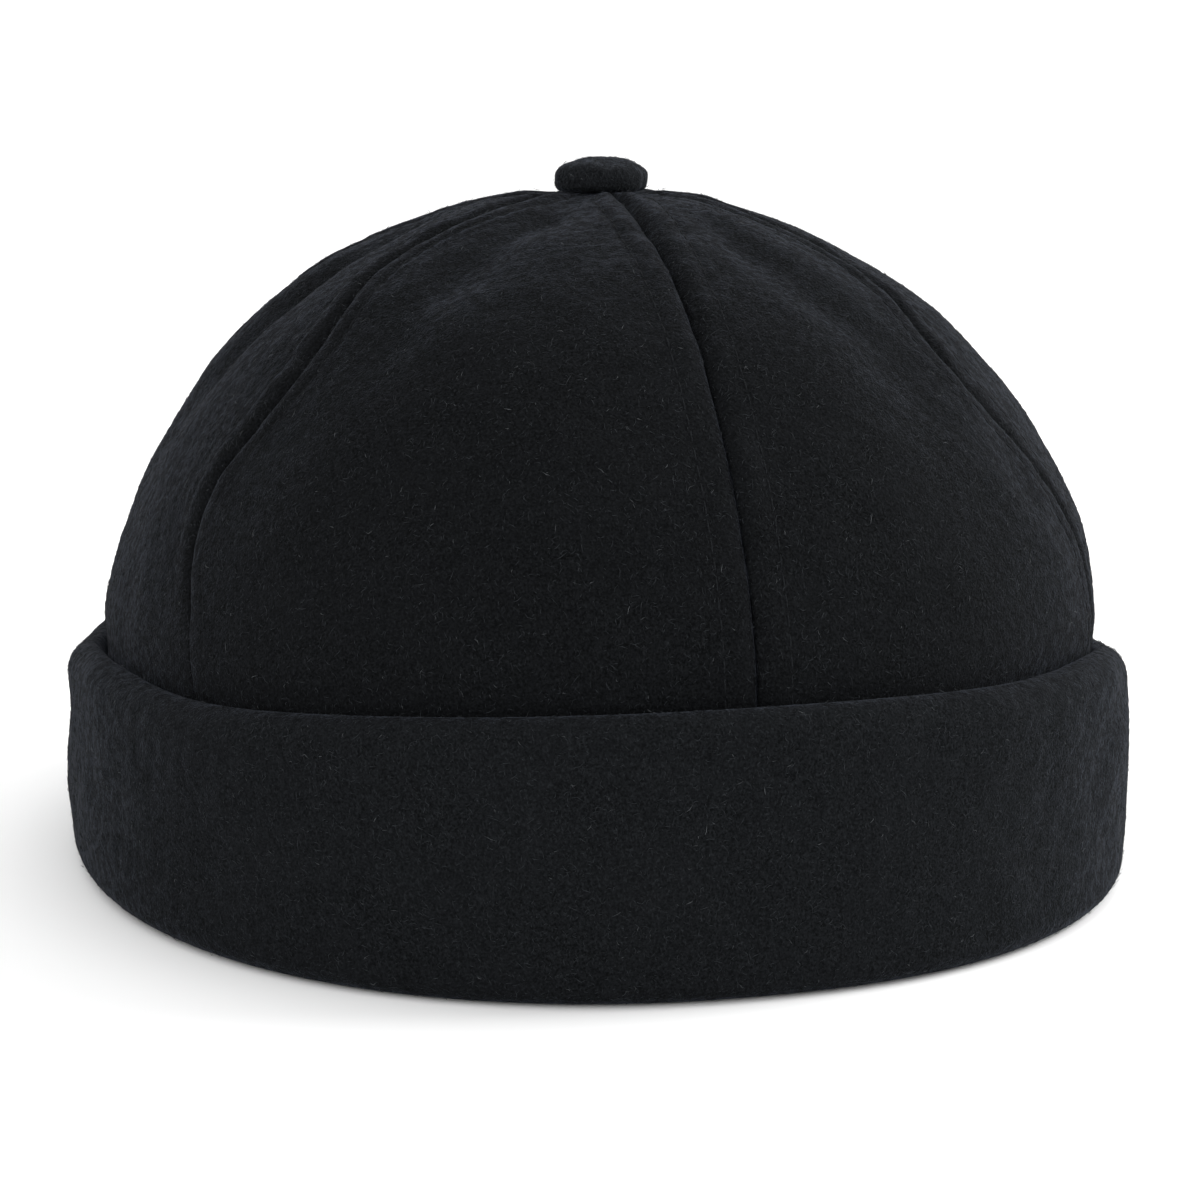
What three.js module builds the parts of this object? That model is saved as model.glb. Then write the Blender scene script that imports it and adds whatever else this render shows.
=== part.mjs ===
// A brimless fisherman's cap of thick black melton wool: six sewn crown panels, a covered button where their
// seams meet, and a deep cuff band turned up all round. Millimetres, +Z up, the front of the cap at -Y, the
// origin at the bottom centre of the ring that the cap rests on.

import * as THREE from "three";

// Driving sizes of the crown
const crownHalfWidth = 88;
const crownHalfLength = 99.5;
const crownHeight = 118.5;
const planSquareness = 2.18;
const clothThickness = 2;
const seamGap = 0.3;
const seamStripWidth = 5.2;
const seamStripRise = 0.5;
const panelFullness = 1.2;
const dentDepth = 1.6;
const apexShiftRight = 2.7;
const apexShiftFront = 0.6;

// Driving sizes of the cuff band
const cuffHeight = 44.4;
const cuffClearance = 1.3;
const cuffSlit = 0.8;
const cuffRollWidth = 5.2;
const cuffRollDepth = 5.6;
const cuffRollCrest = 0.38;
const cuffFoldRadius = 3.9;
const cuffTopInset = 0.2;
const cuffWaveDepth = 0.9;
const hemHeight = 14;
const hemBendRadius = 1.4;

// Driving sizes of the button
const buttonDiameter = 16.8;
const buttonHeight = 6.2;
const buttonStemDiameter = 5;
const stemClearance = 0.7;

// How finely the cloth is divided
const panelRows = 15;
const panelMiddleColumns = 7;
const cuffSegments = 72;
const buttonSegments = 28;

// Crown sections from the rim up: rise as a share of the crown's height, and the reach to each side as a share of
// the plan outline.
const crownSections = [
  { rise: 0.02, left: 1.0, right: 1.0, front: 1.0, back: 1.0 },
  { rise: 0.13, left: 1.0, right: 1.0, front: 1.0, back: 1.0 },
  { rise: 0.26, left: 0.997, right: 1.0, front: 1.0, back: 1.0 },
  { rise: 0.39, left: 0.985, right: 1.005, front: 0.992, back: 0.992 },
  { rise: 0.52, left: 0.926, right: 0.98, front: 0.948, back: 0.942 },
  { rise: 0.64, left: 0.852, right: 0.894, front: 0.87, back: 0.862 },
  { rise: 0.74, left: 0.766, right: 0.798, front: 0.779, back: 0.772 },
  { rise: 0.83, left: 0.645, right: 0.68, front: 0.66, back: 0.654 },
  { rise: 0.9, left: 0.509, right: 0.527, front: 0.518, back: 0.514 },
  { rise: 0.95, left: 0.356, right: 0.382, front: 0.369, back: 0.366 },
  { rise: 0.98, left: 0.229, right: 0.245, front: 0.237, back: 0.235 },
  { rise: 1.0, left: 0, right: 0, front: 0, back: 0 },
];

// Seams of the crown, in degrees from the front towards the right side, and where each bows sideways: place along
// the rise of the cloth, spread each way, and turn in degrees.
const crownSeams = [
  { direction: -180, bows: [] },
  { direction: -120, bows: [{ along: 0.5, length: 0.3, turn: 2 }] },
  {
    direction: -58.5,
    bows: [
      { along: 0.4, length: 0.1, turn: -7.5 },
      { along: 0.76, length: 0.09, turn: -5.5 },
    ],
  },
  { direction: 0.3, bows: [] },
  { direction: 51, bows: [{ along: 0.56, length: 0.13, turn: -9.5 }] },
  { direction: 115, bows: [{ along: 0.5, length: 0.3, turn: -2 }] },
  { direction: 180, bows: [] },
];
const panelNames = [
  "crown_panel_back_left",
  "crown_panel_side_left",
  "crown_panel_front_left",
  "crown_panel_front_right",
  "crown_panel_side_right",
  "crown_panel_back_right",
];

// The raised strip beside a seam: how far from the seam, as a share of the strip's width, and its rise as a share
// of the strip's rise. The cloth dips into the seam, rises over the pressed allowance and falls at the topstitch.
const seamStrip = [
  { away: 0, rise: -1.2 },
  { away: 0.2, rise: 0.4 },
  { away: 0.55, rise: 1 },
  { away: 1.0, rise: 0.2 },
  { away: 1.25, rise: 0 },
];

// How far along the rise the panels begin to swell between their seams, swell fully, fade and end.
const swellRun = { begins: 0.15, full: 0.45, fades: 0.78, ends: 1 };
// The swelling's level at a seam: the share of the fullness that the cloth draws in there.
const seamLevel = 0.6;

// Dents of the crown: direction in degrees, place along the rise of the cloth, spread each way, and depth as a share
// of the dent depth (negative stands proud).
const crownDents = [
  { direction: -37, along: 0.8, across: 9, length: 0.12, depth: 0.9 },
  { direction: -31, along: 0.93, across: 16, length: 0.05, depth: 0.35 },
  { direction: -12, along: 0.5, across: 12, length: 0.12, depth: 0.25 },
  { direction: -44, along: 0.6, across: 6, length: 0.08, depth: 0.4 },
  { direction: 31, along: 0.56, across: 6, length: 0.1, depth: 0.7 },
  { direction: 40, along: 0.42, across: 5, length: 0.05, depth: 0.5 },
  { direction: 28, along: 0.73, across: 6, length: 0.05, depth: 0.5 },
  { direction: 12, along: 0.78, across: 9, length: 0.1, depth: -0.3 },
  { direction: -78, along: 0.62, across: 8, length: 0.14, depth: 0.4 },
  { direction: 142, along: 0.62, across: 13, length: 0.12, depth: 0.6 },
  { direction: -150, along: 0.74, across: 12, length: 0.1, depth: 0.7 },
];

// The cuff's top edge round the cap: direction in degrees and height as a share of the cuff's height.
const cuffTops = [
  { direction: -180, share: 0.87 },
  { direction: -145, share: 0.82 },
  { direction: -117, share: 0.8 },
  { direction: -100, share: 0.84 },
  { direction: -85, share: 0.9 },
  { direction: -70, share: 0.907 },
  { direction: -57, share: 0.885 },
  { direction: -45, share: 0.923 },
  { direction: -25, share: 0.977 },
  { direction: -5, share: 1.0 },
  { direction: 12, share: 1.0 },
  { direction: 30, share: 0.968 },
  { direction: 47, share: 0.972 },
  { direction: 60, share: 0.885 },
  { direction: 75, share: 0.825 },
  { direction: 110, share: 0.815 },
  { direction: 150, share: 0.85 },
  { direction: 180, share: 0.87 },
];

// The outer layer between its two bends: height as a share of the cuff's height, and how far it stands out, as a
// share of the cloth's thickness.
const cuffWaist = [
  { height: 0.35, out: 0.15 },
  { height: 0.65, out: 0 },
];
// Where the inner layer stands straight below the roll, as a share of the cuff's height.
const cuffInnerRise = 0.72;

// Soft waves of the cuff: direction in degrees, height as a share of the cuff's height, spreads, and depth as a
// share of the wave depth (negative stands proud).
const cuffWaves = [
  { direction: -40, height: 0.45, across: 14, length: 0.4, depth: 0.5 },
  { direction: -12, height: 0.7, across: 12, length: 0.35, depth: -0.35 },
  { direction: 28, height: 0.4, across: 13, length: 0.4, depth: 0.45 },
  { direction: 52, height: 0.85, across: 9, length: 0.2, depth: -0.5 },
  { direction: 130, height: 0.5, across: 16, length: 0.4, depth: 0.6 },
  { direction: -145, height: 0.6, across: 15, length: 0.4, depth: 0.5 },
];

// The dome of the button, as shares of its radius and its height, from the rim to the middle.
const buttonDome = [
  { reach: 0.93, rise: 0.0 },
  { reach: 1.0, rise: 0.18 },
  { reach: 0.99, rise: 0.4 },
  { reach: 0.9, rise: 0.64 },
  { reach: 0.7, rise: 0.83 },
  { reach: 0.36, rise: 0.97 },
  { reach: 0.0, rise: 1.0 },
];

const buttonHoleRadius = buttonStemDiameter / 2 + stemClearance;
const radians = THREE.MathUtils.degToRad;

// The rest of a turn between two directions, from -180 to 180 degrees.
function turnBetween(first, second) {
  return THREE.MathUtils.euclideanModulo(first - second + 180, 360) - 180;
}

// A soft bump that is 1 at its middle and fades out at about twice its spread.
function bump(offset, spread) {
  return Math.exp(-((offset / spread) ** 2));
}

// The plan outline: how far the crown reaches in a direction at its widest.
function planReach(direction) {
  const across = Math.abs(Math.sin(radians(direction)) / crownHalfWidth) ** planSquareness;
  const along = Math.abs(Math.cos(radians(direction)) / crownHalfLength) ** planSquareness;
  return (across + along) ** (-1 / planSquareness);
}

// The direction square to the plan outline, pointing out.
function planNormal(direction) {
  const side = Math.sin(radians(direction));
  const front = Math.cos(radians(direction));
  const power = planSquareness - 1;
  const x = Math.sign(side) * Math.abs(side) ** power / crownHalfWidth ** planSquareness;
  const y = -Math.sign(front) * Math.abs(front) ** power / crownHalfLength ** planSquareness;
  return new THREE.Vector3(x, y, 0).normalize();
}

// The share of the plan outline that one crown section reaches in a direction.
function sectionShare(section, direction) {
  const side = Math.sin(radians(direction));
  const front = Math.cos(radians(direction));
  const sideShare = side > 0 ? section.right : section.left;
  const frontShare = front > 0 ? section.front : section.back;
  return sideShare * side ** 2 + frontShare * front ** 2;
}

// The crown's cut in one direction, from the rim to the hole under the button, as (reach, height).
function crownMeridian(direction) {
  const reach = planReach(direction);
  const points = crownSections.map((section) => new THREE.Vector3(
    Math.max(reach * sectionShare(section, direction), buttonHoleRadius),
    crownHeight * section.rise,
    0,
  ));
  return new THREE.CatmullRomCurve3(points);
}

// A point of the crown's smooth outer form. The seams' meeting point lies a little off the middle.
function crownForm(direction, along) {
  const cut = crownMeridian(direction).getPointAt(along);
  const outwards = (cut.x - buttonHoleRadius) / (planReach(direction) - buttonHoleRadius);
  const pull = Math.max(0, 1 - outwards) ** 3;
  return new THREE.Vector3(
    apexShiftRight * pull + cut.x * Math.sin(radians(direction)),
    -apexShiftFront * pull - cut.x * Math.cos(radians(direction)),
    cut.y,
  );
}

// The outward direction of the crown's smooth form.
function crownNormal(direction, along) {
  const turn = 0.5;
  const climb = 0.004;
  const aside = crownForm(direction + turn, along).sub(crownForm(direction - turn, along));
  const low = crownForm(direction, Math.max(along - climb, 0));
  const high = crownForm(direction, Math.min(along + climb, 1));
  return aside.cross(high.sub(low)).normalize();
}

// Where a seam runs: its direction at a place along the rise of the cloth.
function seamDirection(seam, along) {
  let direction = seam.direction;
  for (const bow of seam.bows) {
    direction += bow.turn * bump(along - bow.along, bow.length);
  }
  return direction;
}

// How the whole cloth swells between its seams and gives way in its dents.
function panelSwell(direction, along, across) {
  const risen = THREE.MathUtils.smoothstep(along, swellRun.begins, swellRun.full);
  const held = risen * (1 - THREE.MathUtils.smoothstep(along, swellRun.fades, swellRun.ends));
  let swell = panelFullness * held * (Math.sin(Math.PI * across) - seamLevel);
  for (const dent of crownDents) {
    const turned = bump(turnBetween(direction, dent.direction), dent.across);
    swell -= dentDepth * dent.depth * turned * bump(along - dent.along, dent.length);
  }
  return swell;
}

// The places of a panel's grid columns, this far out from the seams' meeting point: shares of the panel's width, with
// the rise of the seam strip at each. The strips narrow with the panel and lie flat under the button.
function panelColumns(width, outwards) {
  const reach = seamStrip.at(-1).away * seamStripWidth;
  const fit = Math.min(1, 0.4 * width / reach);
  const risen = THREE.MathUtils.smoothstep(outwards, buttonDiameter / 2, buttonDiameter * 1.5);
  const edge = seamStrip.map(({ away, rise }) => ({
    across: (seamGap / 2 + away * seamStripWidth * fit) / width,
    rise: rise * seamStripRise * risen,
  }));
  const first = edge.at(-1).across;
  const middle = [];
  for (let i = 1; i <= panelMiddleColumns; i += 1) {
    const share = i / (panelMiddleColumns + 1);
    middle.push({ across: first + (1 - 2 * first) * share, rise: 0 });
  }
  const farEdge = edge.map(({ across, rise }) => ({ across: 1 - across, rise })).reverse();
  return [...edge, ...middle, ...farEdge];
}

// A closed solid from an outer and an inner grid of points, joined round their borders.
function clothSolid(outer, inner) {
  const rows = outer.length;
  const columns = outer[0].length;
  const positions = [];
  for (const grid of [outer, inner]) {
    for (const row of grid) {
      for (const point of row) {
        positions.push(point.x, point.y, point.z);
      }
    }
  }
  const at = (face, row, column) => (face * rows + row) * columns + column;
  const triangles = [];
  const addQuad = (a, b, c, d) => triangles.push(a, b, c, a, c, d);
  for (let row = 0; row < rows - 1; row += 1) {
    for (let column = 0; column < columns - 1; column += 1) {
      const [right, up] = [column + 1, row + 1];
      addQuad(at(0, row, column), at(0, row, right), at(0, up, right), at(0, up, column));
      addQuad(at(1, row, column), at(1, up, column), at(1, up, right), at(1, row, right));
    }
  }
  for (let row = 0; row < rows - 1; row += 1) {
    const [last, up] = [columns - 1, row + 1];
    addQuad(at(0, row, 0), at(0, up, 0), at(1, up, 0), at(1, row, 0));
    addQuad(at(0, row, last), at(1, row, last), at(1, up, last), at(0, up, last));
  }
  for (let column = 0; column < columns - 1; column += 1) {
    const [right, last] = [column + 1, rows - 1];
    addQuad(at(0, 0, column), at(1, 0, column), at(1, 0, right), at(0, 0, right));
    addQuad(at(0, last, column), at(0, last, right), at(1, last, right), at(1, last, column));
  }
  return meshGeometry(positions, triangles);
}

function meshGeometry(positions, triangles) {
  const geometry = new THREE.BufferGeometry();
  geometry.setAttribute("position", new THREE.Float32BufferAttribute(positions, 3));
  geometry.setIndex(triangles);
  geometry.computeVertexNormals();
  return geometry;
}

// One sewn panel between two seams.
function crownPanel(firstSeam, secondSeam) {
  const outer = [];
  const inner = [];
  for (let row = 0; row < panelRows; row += 1) {
    const along = row / (panelRows - 1);
    const start = seamDirection(firstSeam, along);
    const end = seamDirection(secondSeam, along);
    const middle = crownMeridian((start + end) / 2).getPointAt(along).x;
    const width = middle * radians(end - start);
    const outerRow = [];
    const innerRow = [];
    for (const { across, rise } of panelColumns(width, middle)) {
      const direction = start + (end - start) * across;
      const normal = crownNormal(direction, along);
      const point = crownForm(direction, along);
      point.addScaledVector(normal, panelSwell(direction, along, across));
      outerRow.push(point.clone().addScaledVector(normal, rise));
      innerRow.push(point.addScaledVector(normal, -clothThickness));
    }
    outer.push(outerRow);
    inner.push(innerRow);
  }
  return clothSolid(outer, inner);
}

// The cuff's top height in a direction: the table's straight runs, softened by averaging over a short turn.
function cuffTop(direction) {
  const softening = [-9, -6, -3, 0, 3, 6, 9];
  const shares = softening.map((turn) => {
    const turned = turnBetween(direction + turn, 0);
    const next = Math.max(1, cuffTops.findIndex((row) => row.direction >= turned));
    const [low, high] = [cuffTops[next - 1], cuffTops[next]];
    const run = THREE.MathUtils.inverseLerp(low.direction, high.direction, turned);
    return THREE.MathUtils.lerp(low.share, high.share, run);
  });
  return cuffHeight * shares.reduce((sum, share) => sum + share, 0) / shares.length;
}

// Points on a quarter of an ellipse about a middle point (out, up), from one angle to another.
function bend(out, up, outRadius, upRadius, fromDegrees, steps) {
  const points = [];
  for (let i = 0; i <= steps; i += 1) {
    const angle = radians(fromDegrees + 90 * i / steps);
    points.push(new THREE.Vector2(out + outRadius * Math.cos(angle), up + upRadius * Math.sin(angle)));
  }
  return points;
}

// The middle line of the cuff's cloth, as (out from the crown's plan outline, height): up the hem inside the crown,
// under its rim, up the outer layer, over the top roll and down behind it.
function cuffPath(direction) {
  const half = clothThickness / 2;
  const hemOut = -clothThickness - seamGap - half;
  const outerOut = cuffClearance + clothThickness + cuffSlit + half;
  const top = cuffTop(direction);
  const fold = cuffFoldRadius - half;
  const rollOut = outerOut - cuffTopInset;
  const rollIn = rollOut - (cuffRollWidth - clothThickness);
  const crest = THREE.MathUtils.lerp(rollIn, rollOut, cuffRollCrest);
  const innerDepth = cuffRollWidth / 2 - half;
  const outerDepth = cuffRollDepth - half;
  const waist = cuffWaist.map(({ height, out }) => new THREE.Vector2(
    outerOut + out * clothThickness - cuffWave(direction, height),
    top * height,
  ));
  return [
    new THREE.Vector2(hemOut, hemHeight),
    ...bend(hemOut + hemBendRadius, half + hemBendRadius, hemBendRadius, hemBendRadius, 180, 2),
    ...bend(outerOut - fold, half + fold, fold, fold, 270, 3),
    ...waist,
    ...bend(crest, top - half - outerDepth, rollOut - crest, outerDepth, 0, 4),
    ...bend(crest, top - half - innerDepth, crest - rollIn, innerDepth, 90, 2).slice(1),
    new THREE.Vector2(cuffClearance + half, top * cuffInnerRise),
    new THREE.Vector2(cuffClearance + half, cuffFoldRadius + seamGap),
  ];
}

function cuffWave(direction, height) {
  let depth = 0;
  for (const wave of cuffWaves) {
    const turned = bump(turnBetween(direction, wave.direction), wave.across);
    depth += cuffWaveDepth * wave.depth * turned * bump(height - wave.height, wave.length);
  }
  return depth;
}

// Both faces of a cloth strip along its middle line, as one closed outline.
function thickened(path) {
  const half = clothThickness / 2;
  const left = [];
  const right = [];
  path.forEach((point, i) => {
    const before = path[Math.max(i - 1, 0)];
    const after = path[Math.min(i + 1, path.length - 1)];
    const arrive = point.clone().sub(before).normalize();
    const leave = after.clone().sub(point).normalize();
    const along = arrive.add(leave).normalize();
    const square = new THREE.Vector2(along.y, -along.x);
    const corner = i > 0 && i < path.length - 1 ? 1 / Math.max(0.5, square.dot(squareTo(before, point))) : 1;
    left.push(point.clone().addScaledVector(square, half * corner));
    right.push(point.clone().addScaledVector(square, -half * corner));
  });
  return [...left, ...right.reverse()];
}

// The unit direction to the right of the way from one point to the next.
function squareTo(from, to) {
  const way = to.clone().sub(from).normalize();
  return new THREE.Vector2(way.y, -way.x);
}

// The folded band, swept round the crown's plan outline.
function cuffBand() {
  const positions = [];
  const triangles = [];
  let count = 0;
  for (let segment = 0; segment < cuffSegments; segment += 1) {
    const direction = 360 * segment / cuffSegments;
    const reach = planReach(direction);
    const normal = planNormal(direction);
    const outline = thickened(cuffPath(direction));
    count = outline.length;
    for (const { x: out, y: up } of outline) {
      positions.push(
        reach * Math.sin(radians(direction)) + normal.x * out,
        -reach * Math.cos(radians(direction)) + normal.y * out,
        up,
      );
    }
  }
  for (let segment = 0; segment < cuffSegments; segment += 1) {
    const next = (segment + 1) % cuffSegments;
    for (let i = 0; i < count; i += 1) {
      const j = (i + 1) % count;
      const [a, b] = [segment * count + i, next * count + i];
      const [c, d] = [next * count + j, segment * count + j];
      triangles.push(a, b, c, a, c, d);
    }
  }
  return meshGeometry(positions, triangles);
}

// The covered button: a low dome whose underside follows the crown, on a stem through the seams' meeting point.
function crownButton() {
  const radius = buttonDiameter / 2;
  const stemRadius = buttonStemDiameter / 2;
  const stemLength = clothThickness + seamGap;
  const rimDrop = crownSlopeAtTop() * (buttonDome[0].reach * radius - buttonHoleRadius);
  const profile = [
    new THREE.Vector2(0, -stemLength),
    new THREE.Vector2(stemRadius, -stemLength),
    new THREE.Vector2(stemRadius, 0),
    ...buttonDome.map(({ reach, rise }) => new THREE.Vector2(
      reach * radius,
      rise * buttonHeight - rimDrop,
    )),
  ];
  return new THREE.LatheGeometry(profile, buttonSegments);
}

// The least fall of the crown for each millimetre out from the hole under the button.
function crownSlopeAtTop() {
  const falls = [0, 90, 180, 270].map((direction) => {
    const lower = crownMeridian(direction).getPointAt(1 - 1 / (panelRows - 1));
    return (crownHeight - lower.y) / (lower.x - buttonHoleRadius);
  });
  return Math.min(...falls);
}

function wool(color) {
  return new THREE.MeshStandardMaterial({ color, roughness: 0.95, metalness: 0 });
}

function addPiece(group, name, geometry, material) {
  const piece = new THREE.Mesh(geometry, material);
  piece.name = name;
  group.add(piece);
  return piece;
}

const cap = new THREE.Group();
panelNames.forEach((name, i) => {
  addPiece(cap, name, crownPanel(crownSeams[i], crownSeams[i + 1]), wool(0x202226));
});
addPiece(cap, "cuff_band", cuffBand(), wool(0x22252a));
const button = addPiece(cap, "crown_button", crownButton(), wool(0x1c1e21));
button.rotation.x = Math.PI / 2;
button.position.set(apexShiftRight, -apexShiftFront, crownHeight + seamGap);

export default cap;
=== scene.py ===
"""Looks of a brimless fisherman's cap of black melton wool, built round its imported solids.

Six sewn crown panels, their topstitching, the turned-up cuff, the covered button and the wool's loose
fibres are each a step of their own. Lengths are in metres and directions in degrees, 0 at the front and
growing towards the wearer's left side (+X).
"""

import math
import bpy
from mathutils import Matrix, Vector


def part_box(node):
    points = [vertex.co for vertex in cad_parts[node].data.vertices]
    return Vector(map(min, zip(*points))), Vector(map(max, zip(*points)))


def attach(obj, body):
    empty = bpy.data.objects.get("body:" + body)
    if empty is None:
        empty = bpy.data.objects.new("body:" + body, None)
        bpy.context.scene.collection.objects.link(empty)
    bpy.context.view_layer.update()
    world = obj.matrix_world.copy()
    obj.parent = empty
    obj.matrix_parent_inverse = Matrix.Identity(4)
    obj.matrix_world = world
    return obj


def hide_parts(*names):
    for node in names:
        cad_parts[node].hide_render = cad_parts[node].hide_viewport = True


bl_info = {
    "name": "Fisherman Beanie",
    "version": (1, 0, 0),
    "blender": (4, 5, 0),
    "location": "View3D > Sidebar > Beanie",
    "description": "Builds a sewn melton wool cap with a turned-up cuff, topstitching and a covered button",
    "category": "Add Mesh",
}

from collections import namedtuple

import bpy
import numpy as np
from bpy.props import FloatProperty, FloatVectorProperty, IntProperty, PointerProperty
from mathutils import Vector

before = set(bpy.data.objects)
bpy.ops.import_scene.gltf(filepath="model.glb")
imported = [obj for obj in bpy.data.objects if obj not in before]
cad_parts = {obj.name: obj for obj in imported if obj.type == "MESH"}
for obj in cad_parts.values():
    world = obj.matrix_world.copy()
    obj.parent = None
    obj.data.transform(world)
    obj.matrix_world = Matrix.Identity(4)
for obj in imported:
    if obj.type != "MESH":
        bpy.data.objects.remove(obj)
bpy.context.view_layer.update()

MM = 0.001

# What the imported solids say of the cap's driving sizes
cuff_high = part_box("cuff_band")[1]
button_low, button_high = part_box("crown_button")
button_middle = (button_low + button_high) / 2
BUTTON_PLACE = np.array([button_middle.x, button_middle.y])
BUTTON_DIAMETER = button_high.x - button_low.x
BUTTON_TOP = button_high.z
CROWN_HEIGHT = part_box("crown_panel_front_left")[1].z
CUFF_HEIGHT = cuff_high.z
# How far the cuff stands out from the crown's plan outline
CUFF_REACH = 6.4 * MM
CROWN_HALF_WIDTH = cuff_high.x - CUFF_REACH
CROWN_HALF_LENGTH = cuff_high.y - CUFF_REACH


def table(columns, *rows):
    """A table with named columns."""
    row = namedtuple("Row", columns)
    return tuple(row(*values) for values in rows)


# Crown sections from the rim up: rise as a share of the crown's height, and the reach to each side as a
# share of the plan outline.
CROWN_SECTIONS = table(
    "rise left right front back",
    (0.02, 1.0, 1.0, 1.0, 1.0),
    (0.13, 1.0, 1.0, 1.0, 1.0),
    (0.26, 0.997, 1.0, 1.0, 1.0),
    (0.39, 0.985, 1.005, 0.992, 0.992),
    (0.52, 0.926, 0.98, 0.948, 0.942),
    (0.64, 0.852, 0.894, 0.87, 0.862),
    (0.74, 0.766, 0.798, 0.779, 0.772),
    (0.83, 0.645, 0.68, 0.66, 0.654),
    (0.9, 0.509, 0.527, 0.518, 0.514),
    (0.95, 0.356, 0.382, 0.369, 0.366),
    (0.98, 0.229, 0.245, 0.237, 0.235),
    (1.0, 0, 0, 0, 0),
)

# Seams of the crown, each with its direction and where it bows sideways: place along the rise of the
# cloth, spread each way, and turn in degrees.
SEAM_BOW = "along length turn"
CROWN_SEAMS = table(
    "direction bows",
    (-180, ()),
    (-120, table(SEAM_BOW, (0.5, 0.3, 2))),
    (-58.5, table(SEAM_BOW, (0.4, 0.1, -7.5), (0.76, 0.09, -5.5))),
    (0.3, ()),
    (51, table(SEAM_BOW, (0.56, 0.13, -9.5))),
    (115, table(SEAM_BOW, (0.5, 0.3, -2))),
    (180, ()),
)
PANEL_NAMES = ("back_left", "side_left", "front_left", "front_right", "side_right", "back_right")

# Dents of the crown: direction, place along the rise, spread each way, and depth as a share of the dent
# depth (negative stands proud). Some are deeper than in the solids.
CROWN_DENTS = table(
    "direction along across length depth",
    (-39, 0.76, 9, 0.08, 1.6),
    (-31, 0.85, 9, 0.05, 1.5),
    (-31, 0.93, 16, 0.05, 0.35),
    (-12, 0.5, 12, 0.12, 0.25),
    (-43, 0.66, 7, 0.08, 1.0),
    (-96, 0.48, 6, 0.05, 0.8),
    (-92, 0.57, 6.5, 0.08, 2.0),
    (-91, 0.7, 7, 0.08, 2.2),
    (-95, 0.8, 7, 0.04, 1.1),
    (-44, 0.57, 6, 0.06, 0.5),
    (29, 0.55, 6, 0.08, 1.1),
    (40, 0.42, 5, 0.05, 0.5),
    (24, 0.66, 6, 0.07, 0.8),
    (20, 0.76, 6, 0.06, 0.9),
    (12, 0.78, 9, 0.1, -0.3),
    (-78, 0.62, 8, 0.14, 0.4),
    (142, 0.62, 13, 0.12, 0.6),
    (-150, 0.74, 12, 0.1, 0.7),
    (-80, 0.28, 4, 0.05, 0.35),
    (35, 0.2, 9, 0.035, 1.5),
    (47, 0.23, 3, 0.04, -0.35),
    (54, 0.19, 3, 0.03, 0.6),
    (46, 0.37, 3, 0.02, 0.25),
    (42, 0.34, 3, 0.02, -0.2),
)

# Where the panel on one side of a seam sinks below the other beside it: seam number from the back round
# by the left, side of the seam, place and spread along the rise, width beside the seam in metres, and
# depth as a share of the dent depth.
SEAM_STEPS = table(
    "seam side along length width depth",
    (3, 1, 0.68, 0.14, 2.6 * MM, 0.62),
    (3, 1, 0.9, 0.06, 2.4 * MM, 0.4),
    (2, -1, 0.5, 0.16, 1.9 * MM, 0.5),
    (2, -1, 0.34, 0.08, 1.6 * MM, 0.35),
    (4, 1, 0.6, 0.2, 2.8 * MM, 0.15),
    (5, 1, 0.66, 0.2, 2.8 * MM, 0.4),
    (6, -1, 0.62, 0.2, 2.8 * MM, 0.4),
)

# The left seam lies flat up to the first of these places along the rise and shows in full from the second
LEFT_SEAM = CROWN_SEAMS[2]
LEFT_SEAM_OPENS = (0.27, 0.35)

# The cuff's top edge round the cap, as a share of the cuff's height
CUFF_TOPS = table(
    "direction share",
    (-180, 0.87),
    (-145, 0.82),
    (-117, 0.8),
    (-100, 0.84),
    (-85, 0.9),
    (-70, 0.907),
    (-57, 0.885),
    (-45, 0.923),
    (-25, 0.977),
    (-5, 1.0),
    (12, 1.0),
    (30, 0.968),
    (47, 0.972),
    (60, 0.885),
    (75, 0.825),
    (110, 0.815),
    (150, 0.85),
    (180, 0.87),
)

# Soft waves of the cuff: direction, height as a share of the cuff's height, spread each way, and depth as
# a share of the wave depth (negative stands proud).
CUFF_WAVES = table(
    "direction height across length depth",
    (-40, 0.45, 14, 0.4, 0.5),
    (-12, 0.7, 12, 0.35, -0.35),
    (28, 0.4, 13, 0.4, 0.45),
    (52, 0.85, 9, 0.2, -0.5),
    (80, 0.66, 15, 0.2, 0.9),
    (130, 0.5, 16, 0.4, 0.6),
    (-145, 0.6, 15, 0.4, 0.5),
)

# The button's side view from the rim to the middle, as shares of its radius and its height
BUTTON_DOME = table(
    "reach rise",
    (0.9, 0),
    (0.97, 0.07),
    (1, 0.2),
    (1, 0.44),
    (0.96, 0.58),
    (0.86, 0.71),
    (0.7, 0.81),
    (0.5, 0.9),
    (0.25, 0.97),
    (0.04, 0.99),
)


def size_setting(name, description, default):
    """A length that a user can change."""
    return FloatProperty(name=name, description=description, default=default, unit="LENGTH")


def number_setting(name, description, default):
    """A plain number that a user can change."""
    return FloatProperty(name=name, description=description, default=default)


def count_setting(name, description, default):
    """A whole number that a user can change."""
    return IntProperty(name=name, description=description, default=default)


def colour_setting(name, description, default):
    """A colour that a user can change."""
    return FloatVectorProperty(name=name, description=description, default=default, subtype="COLOR")


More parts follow.
